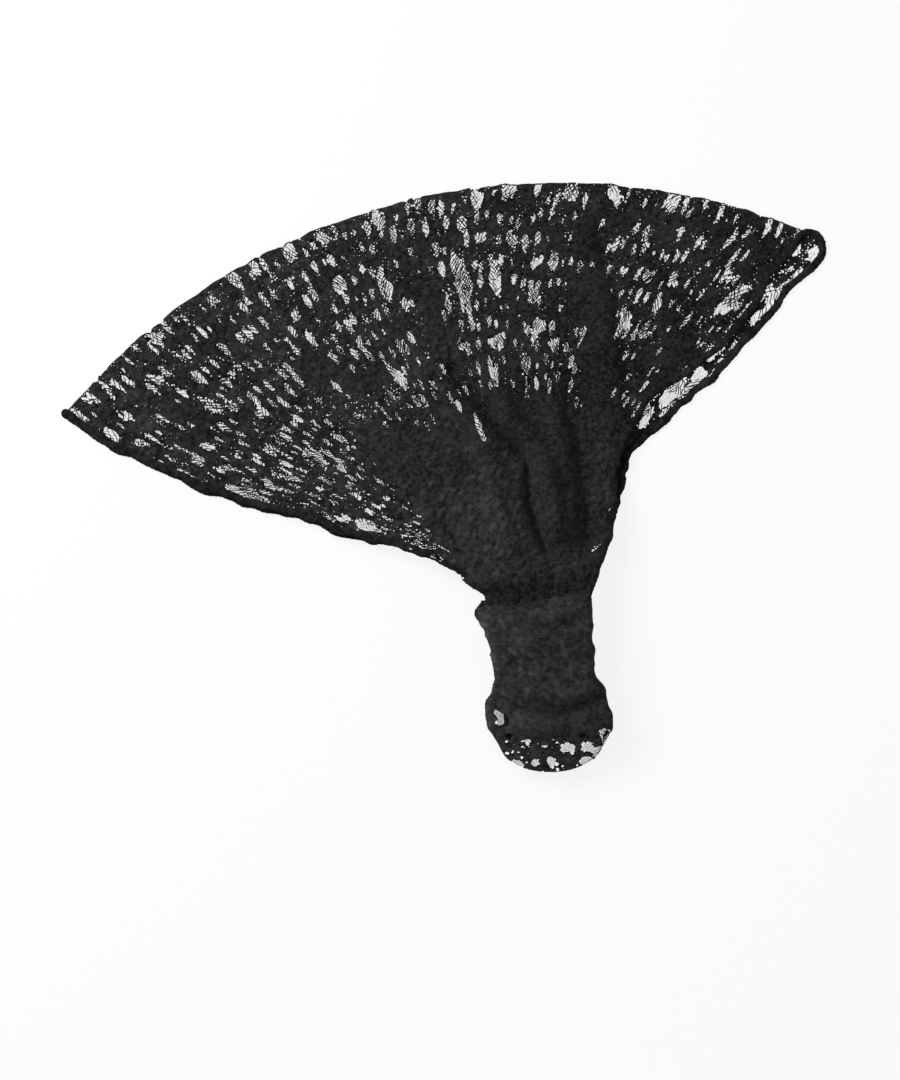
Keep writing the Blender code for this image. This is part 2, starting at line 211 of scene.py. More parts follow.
def fuzzy_yarn_group():
    """Colour, roughness and height of fuzzy yarn, in clumps and streaks of fibres and in larger worn patches,
    and its pin-holes: few and small where it is a little thin, and close together where Thin is 1. Its colour
    is also painted paler up a nub, as a painted highlight."""
    tree = bpy.data.node_groups.new("fuzzy_yarn", "ShaderNodeTree")
    for name in ("Dark", "Pale"):
        tree.interface.new_socket(name, in_out="INPUT", socket_type="NodeSocketColor")
    for name in ("Clump", "Fibre", "Hole", "Nub_highlight", "Thin"):
        tree.interface.new_socket(name, in_out="INPUT", socket_type="NodeSocketFloat")
    for name, kind in (("Color", "Color"), ("Roughness", "Float"), ("Height", "Float"), ("Alpha", "Float")):
        tree.interface.new_socket(name, in_out="OUTPUT", socket_type="NodeSocket" + kind)
    given = tree.nodes.new("NodeGroupInput").outputs
    place = tree.nodes.new("ShaderNodeTexCoord").outputs["Object"]
    drawn = add_node(tree, "Mapping", Vector=place, Rotation=(0, 0, FIBRE_TURN), Scale=(FIBRE_DRAWN, 1, 1))
    clump = add_node(tree, "TexNoise", Vector=place, Detail=2.0, Roughness=0.5,
                     Scale=add_math(tree, "DIVIDE", 1.0, given["Clump"])).outputs["Fac"]
    fibre = add_node(tree, "TexNoise", Vector=drawn.outputs["Vector"], Detail=2.0, Roughness=0.7,
                     Scale=add_math(tree, "DIVIDE", 1.0, given["Fibre"])).outputs["Fac"]
    patch = add_node(tree, "TexNoise", Vector=place, Detail=2.0, Scale=WORN_PATCHES).outputs["Fac"]
    parts = [add_math(tree, "MULTIPLY", part, weight) for part, weight in
             ((clump, CLUMP_SHARE), (fibre, FIBRE_SHARE), (patch, PATCH_SHARE), (given["Nub_highlight"], NUB_HIGHLIGHT_SHARE))]
    height = add_math(tree, "ADD", parts[0], parts[1])
    tone = add_math(tree, "ADD", height, add_math(tree, "ADD", parts[2], parts[3]))
    share = add_node(tree, "MapRange", Value=tone, From_Min=DARK_TONE, From_Max=PALE_TONE).outputs["Result"]
    colour = tree.nodes.new("ShaderNodeMix")
    colour.data_type = "RGBA"
    sockets = {socket.identifier: socket for socket in colour.inputs}
    tree.links.new(share, sockets["Factor_Float"])
    tree.links.new(given["Dark"], sockets["A_Color"])
    tree.links.new(given["Pale"], sockets["B_Color"])
    rough = add_node(tree, "MapRange", Value=fibre, From_Min=0.3, From_Max=0.7,
                     To_Min=LEAST_ROUGH, To_Max=MOST_ROUGH)
    spots = add_node(tree, "TexVoronoi", Vector=place, Randomness=1.0,
                     Scale=add_math(tree, "DIVIDE", 1.0, given["Hole"]))
    spots.voronoi_dimensions = "2D"
    chance = add_node(tree, "SeparateColor", Color=spots.outputs["Color"]).outputs["Red"]
    spare = add_math(tree, "SUBTRACT", add_math(tree, "MULTIPLY", given["Thin"], HOLE_CHANCE), chance)
    radius = add_math(tree, "MINIMUM", add_math(tree, "MULTIPLY", spare, HOLE_GROWTH), WIDEST_HOLE)
    yarn_there = add_math(tree, "GREATER_THAN", spots.outputs["Distance"], radius)
    result = tree.nodes.new("NodeGroupOutput")
    mixed = next(socket for socket in colour.outputs if socket.identifier == "Result_Color")
    tree.links.new(mixed, result.inputs["Color"])
    tree.links.new(rough.outputs["Result"], result.inputs["Roughness"])
    tree.links.new(height, result.inputs["Height"])
    tree.links.new(yarn_there, result.inputs["Alpha"])
    return tree


fuzzy_yarn = fuzzy_yarn_group()


def yarn_material(name, dark, pale, clump, fibre, bump, hole=PIN_HOLE_PITCH):
    """A material of fuzzy yarn, with the bump's depth in metres."""
    material = bpy.data.materials.new(name)
    material.use_nodes = True
    tree = material.node_tree
    shader = tree.nodes["Principled BSDF"]
    yarn = tree.nodes.new("ShaderNodeGroup")
    yarn.node_tree = fuzzy_yarn
    values = {"Dark": dark, "Pale": pale, "Clump": clump, "Fibre": fibre, "Hole": hole}
    for socket, value in values.items():
        yarn.inputs[socket].default_value = value
    for attribute, socket in (("nub", "Nub_highlight"), ("thin", "Thin")):
        read = tree.nodes.new("ShaderNodeAttribute")
        read.attribute_name = attribute
        tree.links.new(read.outputs["Fac"], yarn.inputs[socket])
    relief = add_node(tree, "Bump", Strength=BUMP_STRENGTH, Distance=bump, Height=yarn.outputs["Height"])
    looks = {"Base Color": yarn.outputs["Color"], "Roughness": yarn.outputs["Roughness"],
             "Alpha": yarn.outputs["Alpha"], "Normal": relief.outputs["Normal"],
             "Specular IOR Level": YARN_GLOSS, "Sheen Weight": YARN_SHEEN,
             "Sheen Roughness": SHEEN_ROUGHNESS, "Sheen Tint": SHEEN_TINT}
    for socket, value in looks.items():
        give(tree, shader.inputs[socket], value)
    return material


lace_yarn = yarn_material("lace_yarn", dark=YARN_DARK, pale=YARN_PALE, clump=YARN_CLUMP, fibre=YARN_FIBRE,
                          bump=0.0012)

# The lace is knitted on a fine diamond net. Thick yarn fills most of its cells into dense ground, and thins
# out into leaf-shaped openings, which point at the neck and have only the net's bare strands in the middle.

PANEL_END = -0.045  # where the panel ends, inside the casing
NET_BANDS = (  # columns, rows, and from where to where along the panel
    (224, 51, 0.50, 1.00),
    (112, 28, 0.20, 0.50),
    (56, 22, PANEL_END, 0.20),
)
NET_STRAND = 0.00005  # half the thickness of a bare strand
YARN_STRAND = 0.00024  # and of one that some yarn runs along
EDGE_STRAND = 0.00030  # and of one on the cloth's edge
NET_SHIFT = 0.26  # how far a knot may lie off its place, in cells
YARN_THICKNESS = 0.00045  # where no nub stands up on it
NUB_HEIGHT = 0.00100
NUB_LENGTH = 0.0046  # from one nub to the next, along and across them
NUB_WIDTH = 0.0027
NUB_TURN = math.radians(48.0)
LEAST_OPENING = 0.00000022  # area of a cell, below which the yarn closes it
LEAF_ROW = 0.0080  # from one row of openings to the next
LEAF_COLUMN = 0.0040  # and within a row, at the fold
LEAF_GROWTH = 0.05  # how much further apart they are with each row from the fold
LEAF_CROWDING = 0.15  # and how much closer they are towards the hems
LEAF_WIDE = 0.35  # half an opening's size, as a share of these
LEAF_LONG = 0.46
LEAF_CHANCE = 0.98  # share of the leaves that are open, where the lace is spread
CROWN_CHANCE = 1.10  # and on the crown fold
LEAF_EDGE = 0.42  # how gently the yarn thins out into an opening
BARE_FROM = 0.80  # where it is thinner than this, only strands are left
PIN_HOLED = 0.27  # how thin the ground is where the lace is spread
WINDOWS = (  # middle from NECK, length and width of the largest openings
    (-0.032, 0.132, 0.022, 0.0065), (-0.017, 0.132, 0.018, 0.0050), (-0.093, 0.057, 0.014, 0.0060),
    (-0.137, 0.080, 0.014, 0.0050), (0.082, 0.124, 0.020, 0.0045), (0.057, 0.165, 0.010, 0.0060),
    (0.037, 0.114, 0.012, 0.0060), (0.032, 0.169, 0.010, 0.0050), (0.007, 0.141, 0.011, 0.0050),
    (-0.026, 0.167, 0.010, 0.0050), (0.015, 0.170, 0.011, 0.0055), (-0.064, 0.129, 0.014, 0.0050),
    (-0.067, 0.157, 0.010, 0.0055), (-0.127, 0.133, 0.009, 0.0055), (0.050, 0.122, 0.012, 0.0035),
    (-0.105, 0.143, 0.012, 0.0040), (-0.024, 0.070, 0.015, 0.0028), (-0.160, 0.108, 0.008, 0.0050),
    (-0.090, 0.150, 0.010, 0.0050), (0.000, 0.113, 0.007, 0.0046), (-0.101, 0.117, 0.007, 0.0048),
    (0.0575, 0.0860, 0.018, 0.0075), (0.0673, 0.0916, 0.012, 0.0046), (0.0776, 0.1048, 0.012, 0.0040),
    (0.0920, 0.1165, 0.008, 0.0035), (0.1011, 0.1256, 0.022, 0.0046), (0.0454, 0.0744, 0.012, 0.0050),
    (-0.1228, 0.0425, 0.026, 0.0046), (-0.0884, 0.0318, 0.011, 0.0034), (-0.0723, 0.0294, 0.013, 0.0036),
    (-0.0525, 0.0252, 0.008, 0.0034), (-0.0458, 0.0193, 0.007, 0.0026), (-0.0330, 0.0078, 0.005, 0.0018),
    (-0.0418, 0.0160, 0.005, 0.0022), (0.0245, 0.0195, 0.007, 0.0016), (0.0300, 0.0357, 0.003, 0.0018),
    (0.1165, 0.1430, 0.007, 0.0050), (-0.0164, 0.1059, 0.008, 0.0060), (-0.0050, 0.0967, 0.010, 0.0045),
    (0.0071, 0.1043, 0.006, 0.0045), (-0.0181, 0.0916, 0.009, 0.0036), (-0.0572, 0.0908, 0.010, 0.0050),
    (-0.0017, 0.1253, 0.006, 0.0045), (0.0450, 0.1100, 0.008, 0.0050), (-0.0040, 0.1110, 0.006, 0.0050),
    (0.1095, 0.1350, 0.010, 0.0036),
)


def lace_net(bands):
    """Corners, as (across, along), cells and their middles of a diamond net, in bands from the crown down.

    Each band has half as many columns as the one before. A cell has four corners, and on an edge of the
    cloth one of them is given twice.
    """
    corners, steps, cells = [], [], []
    count = 0
    above = None
    for columns, rows, low, high in bands:
        i, j = np.mgrid[0:2 * columns + 1, 0:2 * rows + 1]
        is_corner = (i + j) % 2 == 0
        fresh = is_corner.copy()
        number = np.full(i.shape, -1)
        if above is not None:
            fresh[:, -1] = False
            number[::2, -1] = above[::2]
        number[fresh] = count + np.arange(fresh.sum())
        count += fresh.sum()
        corners.append(np.stack((i[fresh] / (2 * columns), mix(low, high, j[fresh] / (2 * rows))), -1))
        steps.append(np.broadcast_to(((1 / columns), (high - low) / rows), corners[-1].shape))
        edged = np.pad(number, 1, constant_values=-1)
        if above is not None:
            edged[2:-1:2, -1] = above[1::2]
        around = np.stack((edged[:-2, 1:-1], edged[1:-1, :-2], edged[2:, 1:-1], edged[1:-1, 2:]), -1)
        cells.append(around[~is_corner])
        above = number[::2, 0]
    corners, cells = np.concatenate(corners), np.concatenate(cells)
    cells = np.where(cells < 0, np.roll(cells, 1, axis=1), cells)
    return corners, np.concatenate(steps), cells, corners[cells].mean(axis=1)


def cell_sides(cells, count):
    """The sides of the cells: their start and end corners, their cell, and the cell beyond or -1."""
    start, end = cells.ravel(), np.roll(cells, -1, axis=1).ravel()
    owner = np.repeat(np.arange(len(cells)), 4)
    real = start != end
    start, end, owner = start[real], end[real], owner[real]
    order = np.argsort(start * count + end)
    keys = (start * count + end)[order]
    spot = np.minimum(np.searchsorted(keys, end * count + start), len(keys) - 1)
    beyond = np.where(keys[spot] == end * count + start, owner[order][spot], -1)
    return start, end, owner, beyond


def round_off(points, start, end):
    """Draws the outlines of the openings smooth, as the thick yarn runs."""
    on_outline = np.flatnonzero((np.bincount(start, minlength=len(points)) == 1)
                                & (np.bincount(end, minlength=len(points)) == 1))
    before, after = np.zeros(len(points), int), np.zeros(len(points), int)
    before[end], after[start] = start, end
    for _ in range(3):
        pull = (points[before[on_outline]] + points[after[on_outline]]) / 2
        points[on_outline] = mix(points[on_outline], pull, 0.5)


def unit(vectors):
    return vectors / np.maximum(np.linalg.norm(vectors, axis=1, keepdims=True), 1e-15)


def corner_normals(points, cells):
    quads = points[cells]
    facing = np.cross(quads[:, 2] - quads[:, 0], quads[:, 3] - quads[:, 1])
    normals = np.zeros_like(points)
    np.add.at(normals, cells.ravel(), np.repeat(facing, 4, axis=0))
    return unit(normals)


def finish_mesh(name, points, faces, material, **looks):
    """A shown object from points and faces, without the points that no face uses. looks are values of each
    point that the material reads: how far it is up a nub, which it paints as a paler highlight, and how thin
    the yarn is there."""
    used = np.unique(np.concatenate([np.asarray(face) for face in faces]))
    number = np.full(len(points), -1)
    number[used] = np.arange(len(used))
    mesh = bpy.data.meshes.new(name)
    mesh.from_pydata(points[used].tolist(), [], [[int(number[corner]) for corner in face] for face in faces])
    mesh.materials.append(material)
    for attribute, values in looks.items():
        mesh.attributes.new(attribute, "FLOAT", "POINT").data.foreach_set("value", values[used])
    piece = bpy.data.objects.new(name, mesh)
    bpy.context.scene.collection.objects.link(piece)
    bpy.ops.object.select_all(action="DESELECT")
    piece.select_set(True)
    bpy.context.view_layer.objects.active = piece
    return piece


def strand_prisms(starts, ends, normals, half, first):
    """Points and faces of three-sided strands between two rows of points, numbered from first."""
    ahead = unit(ends - starts)
    upward = unit(normals - ahead * (normals * ahead).sum(axis=1, keepdims=True))
    sideward = np.cross(upward, ahead)
    angles = 2 * math.pi / 3 * np.arange(3)
    ring = np.stack([upward * math.cos(angle) + sideward * math.sin(angle) for angle in angles], 1)
    ring *= half[:, None, None]
    points = np.concatenate((starts[:, None] + ring, ends[:, None] + ring), 1).reshape(-1, 3)
    corners = first + 6 * np.arange(len(starts))[:, None]
    faces = [(0, 3, 4, 1), (1, 4, 5, 2), (2, 5, 3, 0), (0, 1, 2), (5, 4, 3)]
    return points, [row for face in faces for row in (corners + np.array(face)).tolist()]


def knit(name, material, net, place, thinness, thick_strand, seed):
    """A piece of lace. place gives the net's corners their places and how far they are up a nub, and thinness
    says how thin the yarn is, up to 1. Thin cells have only strands round them, some of them thick."""
    corners, steps, cells, middles = net
    shift = np.random.default_rng(seed).uniform(-NET_SHIFT, NET_SHIFT, corners.shape) * steps
    on_edge = (corners[:, :1] <= 0) | (corners[:, :1] >= 1) | (corners[:, 1:] >= corners[:, 1].max())
    corners = corners + np.where(on_edge, 0.0, shift)
    points, stand = place(corners[:, 0], corners[:, 1])
    quads = points[cells]
    area = np.linalg.norm(np.cross(quads[:, 2] - quads[:, 0], quads[:, 3] - quads[:, 1]), axis=1) / 2
    bare = (thinness(middles[:, 0], middles[:, 1]) > BARE_FROM) & (area > LEAST_OPENING)
    thin = thinness(corners[:, 0], corners[:, 1])
    start, end, owner, beyond = cell_sides(cells, len(points))
    past = (beyond < 0) | bare[beyond]
    outline = ~bare[owner] & past
    round_off(points, start[outline & (beyond >= 0)], end[outline & (beyond >= 0)])
    normals = corner_normals(points, cells)
    count = len(points)
    upper = points + normals * (YARN_THICKNESS / 2 + NUB_HEIGHT * stand)[:, None]
    lower = points - normals * YARN_THICKNESS / 2
    faces = [list(dict.fromkeys(cell)) for cell in cells[~bare].tolist()]
    faces += [[corner + count for corner in face[::-1]] for face in faces]
    a, b = start[outline], end[outline]
    faces += np.stack((a + count, b + count, b, a), -1).tolist()
    strand = bare[owner] & past & ((beyond < 0) | (owner < beyond))
    a, b = start[strand], end[strand]
    lean = np.sign((corners[b] - corners[a]).prod(axis=1))
    spot = (corners[a] + corners[b]) / (6 * steps[a])
    half = mix(NET_STRAND, thick_strand, smooth(4 * ripple(spot[:, 0], spot[:, 1] + 40 * lean, seed)))
    half[beyond[strand] < 0] = EDGE_STRAND
    strands, strand_faces = strand_prisms(points[a], points[b], normals[a] + normals[b], half, 2 * count)
    opaque = np.zeros(len(strands))
    # the nub values also paint the yarn paler up each nub: a painted highlight
    piece = finish_mesh(name, np.concatenate((upper, lower, strands)), faces + strand_faces, material,
                        nub=np.concatenate((stand, 0 * stand, opaque)),
                        thin=np.concatenate((thin, thin, opaque)))
    bpy.ops.object.shade_smooth_by_angle(angle=math.radians(65))
    return piece


LEAF_OFF_ACROSS = 0.6  # how far a leaf may lie off its place, in columns
LEAF_OFF_ALONG = 0.5  # and in rows
LEAF_TAPER = 0.35  # how much wider it is at its far end
SMALL_LEAF = 0.72
LARGE_LEAF = 1.22
LEAF_TABLE = np.random.default_rng(4).random((97, 89, 4))


def leaves(x, y):
    """For points of the flat cloth: the random number of the leaf they lie in or beside, and how deep inside
    it they are. The leaves stand in staggered, uneven rows, and are wider at the end away from the neck."""
    row = np.floor(y / LEAF_ROW).astype(int)
    depth = np.full(x.shape, -np.inf)
    number = np.zeros(x.shape)
    for along in (-1, 0, 1):
        j = row + along
        p = x / (LEAF_COLUMN * (1 + LEAF_GROWTH * j)) + 0.5 * (j % 2)
        column = np.floor(p).astype(int)
        for across in (-1, 0, 1):
            i = column + across
            spot = LEAF_TABLE[i % len(LEAF_TABLE), j % len(LEAF_TABLE[0])]
            ahead = (j + 0.5 + LEAF_OFF_ALONG * (spot[..., 1] - 0.5) - y / LEAF_ROW) / LEAF_LONG
            wide = LEAF_WIDE * (1 + LEAF_TAPER * np.clip(ahead, -1, 1))
            aside = (i + 0.5 + LEAF_OFF_ACROSS * (spot[..., 0] - 0.5) - p) / wide
            deep = mix(SMALL_LEAF, LARGE_LEAF, spot[..., 2]) - np.hypot(ahead, aside)
            number = np.where(deep > depth, spot[..., 3], number)
            depth = np.maximum(depth, deep)
    return number, depth


WINDOW_RAGS = 0.0022  # size of the uneven bits of a large opening's outline
WINDOW_RAGGED = 0.5  # and how far they reach
WINDOW_FULL = 1.35
WINDOW_EDGE = 0.9  # how gently the yarn thins out into it


def patches(plan, size, seed):
    """Smooth random heights from -1 to 1 at points of the plan, in patches of a size in metres."""
    return ripple(plan[:, 0] / size, plan[:, 1] / size, seed)


def in_window(plan, windows):
    """How thin the yarn is at points of the plan because of the large openings, with uneven outlines."""
    ragged = WINDOW_RAGGED * patches(plan, WINDOW_RAGS, 25)
    thin = np.zeros(len(plan))
    for x, y, length, width in windows:
        run = np.array((x, y)) / math.hypot(x, y)
        off = plan - NECK - (x, y)
        ahead = off @ run / (length / 2)
        aside = off @ np.array((-run[1], run[0])) / (width / 2)
        thin = np.maximum(thin, smooth((WINDOW_FULL + ragged - ahead ** 2 - aside ** 2) / WINDOW_EDGE))
    return thin


LEAF_CLUSTER = (0.018, 0.022)  # size of the places with more or fewer leaves, across and along
LEAF_RAGS = (0.0016, 0.0030)  # and of the uneven bits of a leaf's outline
LEAF_RAGGED = 0.20
HOLE_PATCH = 0.006  # size of the places with more or fewer pin-holes


def lace_thinness(side, along, chance):
    """How thin the panel's yarn is, where chance is the share of leaves that are open."""
    across = CROWN_WIDTH / 2 * side * (1 - LEAF_CROWDING * (1 - side ** 2))
    from_fold = (1 - along) * PANEL_LENGTH
    plan = panel_point(side, along)
    cluster = 1 + 0.5 * ripple(across / LEAF_CLUSTER[0], from_fold / LEAF_CLUSTER[1], 21)
    number, depth = leaves(across, from_fold)
    depth = depth + LEAF_RAGGED * ripple(across / LEAF_RAGS[0], from_fold / LEAF_RAGS[1], 23)
    leaf = np.where(number < chance * cluster, smooth(depth / LEAF_EDGE), 0.0)
    patchy = 0.75 + 0.5 * patches(plan, HOLE_PATCH, 27)
    holed = PIN_HOLED * np.minimum(1, 1.6 * chance) * patchy
    return np.maximum(np.maximum(leaf, in_window(plan, WINDOWS)), holed)


GATHERED_TO = 0.45  # how far along the panel the gathers close the lace up,
GATHERED_LEFT = 0.12  # and at the left hem
SPREAD_REACH = 0.18  # from there the leaves open over this share of the length
RIGHT_CHANCE = 0.8  # fewer of them are open at the right
CROWN_FROM = 0.95  # where the crown fold's own share starts
CROWN_FADE = 0.03


def lace_chance(side, along):
    """The share of open leaves: none where the gathers close the lace up, and most towards the crown."""
    gathered = mix(GATHERED_TO, GATHERED_LEFT, smooth((-side - 0.35) / 0.6))
    spread = LEAF_CHANCE * smooth((along - gathered) / SPREAD_REACH)
    spread = spread * mix(1.0, RIGHT_CHANCE, smooth((side - 0.15) / 0.3))
    return mix(spread, CROWN_CHANCE, smooth((along - CROWN_FROM) / CROWN_FADE))


# The back layer lies flat on the table. It rises into the back mouth of the casing in small gathers, and it
# reaches further out than the front layer at both hems, where its openings show by themselves.

LACE = 0.0008
MOUTH_HALF = 0.0030  # half the height of the casing's mouth
PLEAT_HEIGHT = 0.0004
PLEATS = 6
GATHER_REACH = 0.30
BACK_LIFT_REACH = 0.40
FOLD_MIDDLE = 0.00095  # height of the crown fold's edge
FOLD_TURN = 0.0014  # length in which a layer rounds over into the fold
LUMP = 0.0015  # size of the small lumps between the nubs
LUMP_HEIGHT = 0.15
NUB_HALF = (0.52, 0.46)  # half a nub, as shares of NUB_LENGTH and NUB_WIDTH
BACK_NUBS = 0.4  # the nubs are flatter underneath

panel_net = lace_net(NET_BANDS)


def gathers(side, along):
    return -PLEAT_HEIGHT * np.cos(math.pi * PLEATS * (1 - side)) * (1 - smooth(along / GATHER_REACH))


def nubs(x, y, seed):
    """How far the yarn stands up, from 0 to 1, in oblong nubs of many sizes with small lumps between them."""
    cos, sin = math.cos(NUB_TURN), math.sin(NUB_TURN)
    p, q = (x * cos + y * sin) / NUB_LENGTH, (y * cos - x * sin) / NUB_WIDTH
    i, j = np.floor(p).astype(int), np.floor(q).astype(int)
    table = np.random.default_rng(seed).random((61, 67, 3))
    stand = LUMP_HEIGHT + LUMP_HEIGHT * ripple(x / LUMP, y / LUMP, seed)
    for a in (-1, 0, 1):
        for b in (-1, 0, 1):
            spot = table[(i + a) % len(table), (j + b) % len(table[0])]
            ahead = (i + a + spot[..., 0] - p) / NUB_HALF[0]
            aside = (j + b + spot[..., 1] - q) / NUB_HALF[1]
            away = ahead ** 2 + aside ** 2
            stand = np.maximum(stand, spot[..., 2] * (1 - away))
    return stand


def round_into_fold(height, along):
    """Brings a layer's height to the fold's edge at the crown."""
    q = np.clip(1 - (1 - along) * PANEL_LENGTH / FOLD_TURN, 0, 1)
    return FOLD_MIDDLE + (height - FOLD_MIDDLE) * np.sqrt(1 - q * q)


def back_height(side, along):
    up = np.maximum(along, 0)
    lift = (MOUTH_HALF - LACE / 2) * (1 - smooth(up / BACK_LIFT_REACH))
    return LACE / 2 + lift + gathers(side, up)


def place_back(across, along):
    side = 2 * across - 1
    plan = panel_point(side, along)
    height = round_into_fold(back_height(side, along), along)
    points = np.column_stack((plan, np.maximum(height, YARN_THICKNESS / 2)))
    return points, BACK_NUBS * nubs(plan[:, 0], plan[:, 1], 31)


def back_thinness(across, along):
    side = 2 * across - 1
    return lace_thinness(side, along, lace_chance(side, along))


back_layer = knit("back_lace", lace_yarn, panel_net, place_back, back_thinness, YARN_STRAND, 51)
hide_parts("back_lace_layer")
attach(back_layer, "crown")

# The front layer lies on the back one at the crown, and rises towards the front mouth of the casing in loose
# folds, where the gathered lace stands up in ridges with deep valleys between them.

HEAD_GAP = 0.0050
FRONT_FLOOR = 2 * MOUTH_HALF + HEAD_GAP
FRONT_REST = 0.0015
FRONT_DROP = 2.1
LEFT_HEM_STEP = 0.0007  # how far the front layer's hem lies inside the back one's
RIGHT_HEM_STEP = 0.0062
RIGHT_HEM_BOW = 0.0042  # and where the right hem bows in furthest
RIGHT_TIP_STEP = 0.0110  # and at the loop round the right tip
RIGHT_BOW_AT = 0.61  # where along the panel it bows in, and over which share
RIGHT_BOW_OVER = 0.07
TIP_STEP_FROM = 0.86
TIP_STEP_REACH = 0.10
HEM_STEP_FROM = 0.18
HEM_STEP_REACH = 0.30
NECK_SWELL = 0.0028  # the front layer puffs up before it dips into the casing
SWELL_LEFT = 1.3  # shares of it at the left and at the right hem
SWELL_RIGHT = 0.5
SWELL_AT = 0.055  # where along the panel, and over which share
SWELL_OVER = 0.035
NECK_DIP = 0.0006
NECK_DIP_REACH = 0.05
LOOSE_FROM = 0.03  # the folds come in from the mouth and from the hems over these shares
LOOSE_REACH = 0.12
CRUMPLE = 0.0009
CRUMPLES = (13, 9)  # about so many across and along half the panel
LAYER_GAP = 0.0012  # the front layer lies at least this far above the back one
SPREAD_NUBS = 0.60  # the nubs, and the highlight painted on them, are flatter where the lace is spread; at the right and at the mouth this paints shade
RIGHT_SHADE_NUBS = 0.50
MOUTH_SHADE_NUBS = 0.2
SWAY = 0.0007  # soft waves of the spread lace
SWAY_LENGTH = 0.016
FRONT_FOLDS = (  # height, half width, and its line up from NECK
    (-0.0048, 0.0024, ((0.004, 0.018), (-0.003, 0.038), (-0.004, 0.055), (-0.016, 0.070), (-0.036, 0.094))),
    (0.0050, 0.0042, ((0.008, 0.026), (0.006, 0.042), (0.003, 0.056), (-0.013, 0.079), (-0.020, 0.092))),
    (0.0018, 0.0066, ((0.026, 0.045), (0.030, 0.074), (0.027, 0.110), (0.0225, 0.135), (0.018, 0.156))),
    (-0.0022, 0.0024, ((0.0395, 0.076), (0.0387, 0.087), (0.036, 0.108), (0.0328, 0.129), (0.027, 0.150))),
    (-0.0024, 0.0050, ((-0.020, 0.032), (-0.028, 0.050), (-0.030, 0.064))),
    (0.0040, 0.0066, ((-0.010, 0.012), (-0.016, 0.036), (-0.022, 0.060), (-0.044, 0.092))),
)
PLEAT_EDGE = (  # from NECK up; right of it the lace lies lower
    (0.013, 0.012), (0.012, 0.042), (0.011, 0.064), (0.006, 0.085),
)
PLEAT_FADE = 0.012  # at its ends it comes in over this length
PLEAT_DROP = 0.0072
PLEAT_ROUND = 0.0110  # the pleat rounds down over this width
PLEAT_REACH = 0.0120  # and the lace rises again over this one
STRIP_DENSITY = 0.9  # share of the leaves that stay closed in the strips below
DENSE_STRIPS = (  # half width and line of where the lace lies double
    (0.0090, ((0.028, 0.060), (0.027, 0.100), (0.0235, 0.124), (0.0215, 0.148))),
    (0.0070, ((-0.038, 0.104), (-0.046, 0.128), (-0.050, 0.145))),
    (0.0075, ((0.046, 0.090), (0.060, 0.104))),
    (0.0130, ((-0.018, 0.040), (-0.046, 0.052), (-0.066, 0.066))),
    (0.0080, ((-0.094, 0.094), (-0.072, 0.090))),
)


def away_from(line, plan):
    """How far points of the plan lie from a line of points, given from the neck."""
    knots = NECK + np.asarray(line)
    nearest = np.full(len(plan), 9.0)
    for start, end in zip(knots[:-1], knots[1:]):
        run = end - start
        share = np.clip((plan - start) @ run / (run @ run), 0, 1)
        nearest = np.minimum(nearest, np.linalg.norm(plan - start - share[:, None] * run, axis=1))
    return nearest


def front_side(across, along):
    """Where a share of the front layer's width lies between its two hems."""
    step = smooth((along - HEM_STEP_FROM) / HEM_STEP_REACH)
    left = LEFT_HEM_STEP * step
    bow = RIGHT_HEM_BOW * hump(along, RIGHT_BOW_AT, RIGHT_BOW_OVER)
    right = RIGHT_HEM_STEP * (1 + 0.2 * ripple(along * 14, 0 * along, 45)) + bow
    right = step * mix(right, RIGHT_TIP_STEP, smooth((along - TIP_STEP_FROM) / TIP_STEP_REACH))
    return mix(inside(-1, along, left), inside(1, along, right), across)


def pleat_drop(plan):
    """How far the lace lies lower because of the pleat, which laps over the lace to its right."""
    x, y = np.array(PLEAT_EDGE).T
    off = plan - NECK
    past = off[:, 0] - np.interp(off[:, 1], y, x)
    ends = smooth((off[:, 1] - y[0]) / PLEAT_FADE)
    ends = ends * smooth((y[-1] + PLEAT_FADE - off[:, 1]) / (2 * PLEAT_FADE))
    rising = np.exp(-np.maximum(past - PLEAT_ROUND, 0) / PLEAT_REACH)
    return PLEAT_DROP * ends * smooth(past / PLEAT_ROUND + 0.1) * rising


def front_height(side, along):
    up = np.maximum(along, 0)
    mouth = FRONT_FLOOR + MOUTH_HALF
    swell = NECK_SWELL * mix(SWELL_LEFT, SWELL_RIGHT, (side + 1) / 2)
    swell = swell * hump(up, SWELL_AT, SWELL_OVER)
    swell = swell - NECK_DIP * (1 - smooth(up / NECK_DIP_REACH))
    return FRONT_REST + (mouth - FRONT_REST) * (1 - up) ** FRONT_DROP + gathers(side, up) + swell


